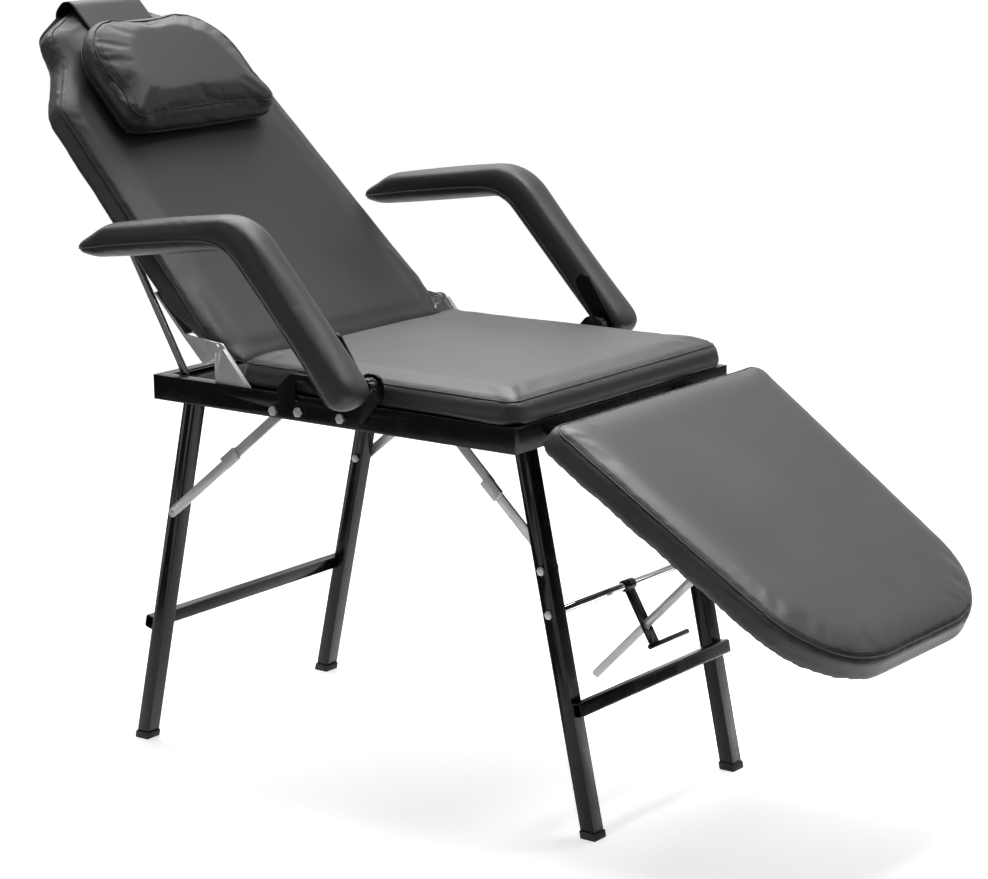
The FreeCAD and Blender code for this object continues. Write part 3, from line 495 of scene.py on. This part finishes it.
for side, sign in (("left", 1), ("right", -1)):
    arms[side] = cushion("arm_pad_" + side, "arm_cushion_" + side,
                         (ALONG, UP, Vector((0, -sign, 0))), NO_GROWTH,
                         voxel=0.005, rounds=16, pressure=3.0, limit=0.006, base=0.004)


HEAD_IN = 0.020          # how far the head end is drawn in
HEAD_IN_FROM = 0.60      # where along the back that starts
HEAD_IN_OVER = 0.14


def head_end(s):
    """Where a place along the back ends up, with the head end drawn in a little."""
    share = np.clip((s - HEAD_IN_FROM) / HEAD_IN_OVER, 0, 1)
    return s - HEAD_IN * share * share * (3 - 2 * share)


def draw_in_head(obj):
    points = points_of(obj.data)
    at = (points - np.array(BACK_PIVOT)) @ np.array(BACK_UP)
    set_points(obj.data, points + np.outer(head_end(at) - at, np.array(BACK_UP)))


LEAN = {"left": 0.19, "right": 0.23}  # run to the rear for each unit of height
LEAN_DROP = 0.035
LEAN_REACH = 0.50        # further than this behind the pivot the arm keeps its place
LEAN_FADE = 0.30


def lean_arm(obj, side):
    """Leans the front of an arm back, so that its bend is long and soft."""
    pivot = np.array(JOINTS["arm_%s_swing" % side]["pos_m"])
    points = points_of(obj.data)
    x = points[:, 0] - pivot[0]
    rise = np.clip(points[:, 2] - pivot[2], 0, None)
    near = np.clip((x + LEAN_REACH) / LEAN_FADE, 0, 1)
    points[:, 0] -= LEAN[side] * rise * near
    points[:, 2] -= LEAN_DROP * rise * near
    set_points(obj.data, points)


draw_in_head(back)
for side in arms:
    lean_arm(arms[side], side)


def ring(obj, normal, drop):
    return cut_loop(obj, normal * (top_of(obj, normal) - drop), normal)


# Depths of the seams and of the stitches beside them, below the top of a cushion
SEAM_DROP = 0.015
STITCH_DROP = 0.0105
PILLOW_SEAM_DROPS = {"pillow_front": 0.017, "pillow_rear": 0.049}
PILLOW_STITCH_DROP = 0.0125
for obj, normal, body in ((seat, UP, "seat_frame"), (leg, LEG_UP, "legrest"), (back, BACK_OUT, "backrest")):
    seam(obj, obj.name + "_seam", ring(obj, normal, SEAM_DROP), body)
    stitches(obj.name, ring(obj, normal, STITCH_DROP), body)
for name, drop in PILLOW_SEAM_DROPS.items():
    seam(head, name, ring(head, BACK_OUT, drop), "head_pillow", radius=0.0014, depth=0.0022, reach=0.014)
stitches("pillow_front", ring(head, BACK_OUT, PILLOW_STITCH_DROP), "head_pillow")


# Line of an arm's seam, forwards and up from the arm's pivot
ARM_SEAM = [(-0.543, 0.172), (-0.45, 0.187), (-0.36, 0.199), (-0.29, 0.207), (-0.24, 0.208), (-0.203, 0.194),
            (-0.167, 0.160), (-0.081, 0.066), (-0.008, -0.026)]


def smooth_line(points, steps):
    """A curve through the points, by the Catmull-Rom rule."""
    ends = [points[0]] + list(points) + [points[-1]]
    line = []
    for a, b, c, d in zip(ends, ends[1:], ends[2:], ends[3:]):
        for step in range(steps):
            t = step / steps
            weights = (-t + 2 * t ** 2 - t ** 3, 2 - 5 * t ** 2 + 3 * t ** 3,
                       t + 4 * t ** 2 - 3 * t ** 3, t ** 3 - t ** 2)
            line.append(tuple(sum(w * p[i] for w, p in zip(weights, (a, b, c, d))) / 2
                              for i in range(len(b))))
    return line + [points[-1]]


def arm_side(side, outward):
    """Where the seam of an arm lies on one of its sides."""
    pivot = Vector(JOINTS["arm_%s_swing" % side]["pos_m"])
    mesh = arms[side].data
    cover = BVHTree.FromPolygons([v.co for v in mesh.vertices], [p.vertices for p in mesh.polygons])
    line = []
    for x, z in smooth_line(ARM_SEAM, 20):
        start = Vector((pivot.x + x, outward, pivot.z + z))
        place, normal, index, distance = cover.ray_cast(start, Vector((0, -outward, 0)))
        if place:
            line.append((place, normal))
    return line


for side in arms:
    for outward in (-1, 1):
        place = "outer" if (outward < 0) == (side == "left") else "inner"
        name = "arm_%s_%s" % (side, place)
        # The arm welts take the lighter thread colour, a painted highlight along the piping
        seam(arms[side], name, arm_side(side, outward), "arm_" + side, closed=False, slot="thread")

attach(seat, "seat_frame")
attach(back, "backrest")
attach(leg, "legrest")
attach(head, "head_pillow")
for side in arms:
    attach(arms[side], "arm_" + side)


# Band over the head end
BAND_TUCK = 0.030        # length that lies under the pillow
BAND_BEND = 0.021        # radius at the head end
BAND_INSIDE = 0.001      # from the outside of its solid
BAND_THICK = 0.0016
BAND_STEP = 0.006
BAND_COLUMNS = 26


def band():
    node = NODES["pillow_band"]
    points = points_of(node.data)
    pivot = np.array(BACK_PIVOT)
    along = (points - pivot) @ np.array(BACK_UP)
    out = (points - pivot) @ np.array(BACK_OUT)
    half = points[:, 1].max()
    top = float(head_end(along.max() - BAND_INSIDE))
    front = out.max() - BAND_INSIDE
    rear = out.min() + BAND_INSIDE
    start = along[out > front - 2 * BAND_INSIDE].min()
    end = along[out < rear + 2 * BAND_INSIDE].min()
    bend = BAND_BEND
    path = [(start - BAND_TUCK, front)]
    for i in range(9):
        turn = math.radians(90 - 90 * i / 8)
        path.append((top - bend + bend * math.cos(turn), front - bend + bend * math.sin(turn)))
    for i in range(9):
        turn = math.radians(-90 * i / 8)
        path.append((top - bend + bend * math.cos(turn), rear + bend + bend * math.sin(turn)))
    path.append((end, rear))
    fine = []
    for a, b in zip(path, path[1:]):
        count = max(1, int(math.hypot(b[0] - a[0], b[1] - a[1]) / BAND_STEP))
        fine += [(a[0] + (b[0] - a[0]) * i / count, a[1] + (b[1] - a[1]) * i / count)
                 for i in range(count)]
    fine.append(path[-1])
    across = [half * (2 * i / BAND_COLUMNS - 1) for i in range(BAND_COLUMNS + 1)]
    verts = []
    for s, n in fine:
        for w in across:
            verts.append(BACK_PIVOT + BACK_UP * s + BACK_OUT * n + Vector((0, w, 0)))
    wide = len(across)
    faces = [(r * wide + c, r * wide + c + 1, (r + 1) * wide + c + 1, (r + 1) * wide + c)
             for r in range(len(fine) - 1) for c in range(wide - 1)]
    mesh = bpy.data.meshes.new("pillow band")
    mesh.from_pydata(verts, [], faces)
    obj = new_object("pillow_band_cloth", mesh)
    change = obj.modifiers.new("thickness", "SOLIDIFY")
    change.thickness = BAND_THICK
    change.offset = 0.0
    baked(obj)
    for face in obj.data.polygons:
        face.use_smooth = True
    length = sum(math.hypot(b[0] - a[0], b[1] - a[1]) for a, b in zip(fine, fine[1:]))
    paint(obj, "leatherette")
    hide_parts("pillow_band")
    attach(obj, "head_pillow")


band()


# Finish of the hard pieces
for name, obj in NODES.items():
    if obj.hide_render:
        continue
    paint(obj, SLOT_OF[name])
    shade_round(obj)


# Camera of the photograph
CAMERA_TURN, CAMERA_RISE, CAMERA_ROLL = 37.39, 12.71, -0.78
CAMERA_LENS = 105.08
CAMERA_PLACE = (3.17889, -3.54834, 1.54664)  # from the rear end of the rails


def look():
    turn, rise, roll = (math.radians(a) for a in (CAMERA_TURN, CAMERA_RISE, CAMERA_ROLL))
    behind = Vector((math.sin(turn) * math.cos(rise), -math.cos(turn) * math.cos(rise), math.sin(rise)))
    right = Vector((math.cos(turn), math.sin(turn), 0))
    up = behind.cross(right)
    right, up = (math.cos(roll) * right + math.sin(roll) * up,
                 -math.sin(roll) * right + math.cos(roll) * up)
    data = bpy.data.cameras.new("camera")
    data.sensor_fit = "HORIZONTAL"
    data.sensor_width = 36.0
    data.lens = CAMERA_LENS
    data.clip_end = 60.0
    camera = new_object("camera", data)
    rear_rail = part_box("side_rail_left")[0].x
    place = Matrix((right, up, behind)).transposed().to_4x4()
    place.translation = Vector((CAMERA_PLACE[0] + rear_rail, CAMERA_PLACE[1], CAMERA_PLACE[2]))
    camera.matrix_world = place
    bpy.context.scene.camera = camera


look()


# Floor, background and light
WORLD_LIGHT = 0.4
TOWARDS_CAMERA = (0.607, -0.794, 0.0)
FLOOR_NEAR, FLOOR_NEAR_HALF = 2.5, 0.95
FLOOR_FAR, FLOOR_FAR_HALF = 30.0, 6.5


def lamp(name, place, aim, width, length, power, spread=180):
    data = bpy.data.lights.new(name, "AREA")
    data.shape = "RECTANGLE"
    data.size = width
    data.size_y = length
    data.energy = power
    data.spread = math.radians(spread)
    obj = new_object(name, data)
    run = Vector(aim) - Vector(place)
    obj.matrix_world = Matrix.Translation(place) @ run.to_track_quat("-Z", "Y").to_matrix().to_4x4()


def shown(s):
    """1 for rays that see the backdrop itself, from the camera or by way of metal and glass."""
    path = {name: s.node("ShaderNodeLightPath", output="Is %s Ray" % name)
            for name in ("Camera", "Glossy", "Transmission")}
    return s.ramp(path["Camera"] + path["Glossy"] + path["Transmission"], 0.0, 1.0)


def floor():
    """White paper that widens with the view, from near the camera to far behind the object."""
    run = Vector(TOWARDS_CAMERA)
    side = Vector((-run.y, run.x, 0))
    corners = [run * FLOOR_NEAR - side * FLOOR_NEAR_HALF, run * FLOOR_NEAR + side * FLOOR_NEAR_HALF,
               side * FLOOR_FAR_HALF - run * FLOOR_FAR, -side * FLOOR_FAR_HALF - run * FLOOR_FAR]
    mesh = bpy.data.meshes.new("floor")
    mesh.from_pydata(corners, [], [(0, 1, 2, 3)])
    obj = new_object("floor", mesh)
    s = finish_named("white paper")
    place = s.node("ShaderNodeTexCoord", output="Object")
    away = s.node("ShaderNodeVectorMath", {"operation": "LENGTH"}, {0: place}, "Value")
    far = s.ramp(away, 1.0, 3.0)
    white = s.shade(far, (0.68, 0.68, 0.68), (0.93, 0.93, 0.93))
    diffuse = s.node("ShaderNodeBsdfDiffuse", None, {"Color": (0.85, 0.85, 0.85, 1)})
    glow = s.node("ShaderNodeEmission", None, {"Color": white, "Strength": 1.0})
    lit = s.node("ShaderNodeAddShader", None, {0: diffuse, 1: glow})
    both = s.node("ShaderNodeMixShader", None, {0: shown(s), 1: diffuse, 2: lit})
    s.node("ShaderNodeOutputMaterial", None, {"Surface": both})
    mesh.materials.append(s.owner)


def background():
    """White behind the object, with a dim room on the camera's side."""
    world = bpy.data.worlds.new("studio")
    bpy.context.scene.world = world
    s = Shader(world)
    way = s.node("ShaderNodeTexCoord", output="Generated")
    front = s.node("ShaderNodeVectorMath", {"operation": "DOT_PRODUCT"},
                   {0: way, 1: TOWARDS_CAMERA}, "Value")
    room = s.shade(s.ramp(-front, 0.3, 0.9), (0.13, 0.13, 0.13), (1.0, 1.0, 1.0))
    seen = s.node("ShaderNodeBackground", None, {"Color": room, "Strength": 1.0})
    light = s.node("ShaderNodeBackground", None, {"Color": room, "Strength": WORLD_LIGHT})
    both = s.node("ShaderNodeMixShader", None, {0: shown(s), 1: light, 2: seen})
    s.node("ShaderNodeOutputWorld", None, {"Surface": both})


floor()
background()
lamp("rear top light", (-1.4, 0.9, 3.0), (0.2, 0.0, 0.6), width=2.4, length=2.4, power=80.0)
lamp("front top light", (0.5, 0.3, 2.5), (0.8, 0.0, 0.4), width=0.9, length=1.2, power=18.0, spread=75)
lamp("far light", (2.4, 2.8, 2.2), (0.0, 0.0, 0.6), width=1.6, length=1.6, power=14.0)
lamp("near light", (-1.8, -3.2, 2.2), (0.0, 0.0, 0.6), width=2.0, length=2.0, power=15.0)
bpy.context.scene.view_settings.view_transform = "Standard"
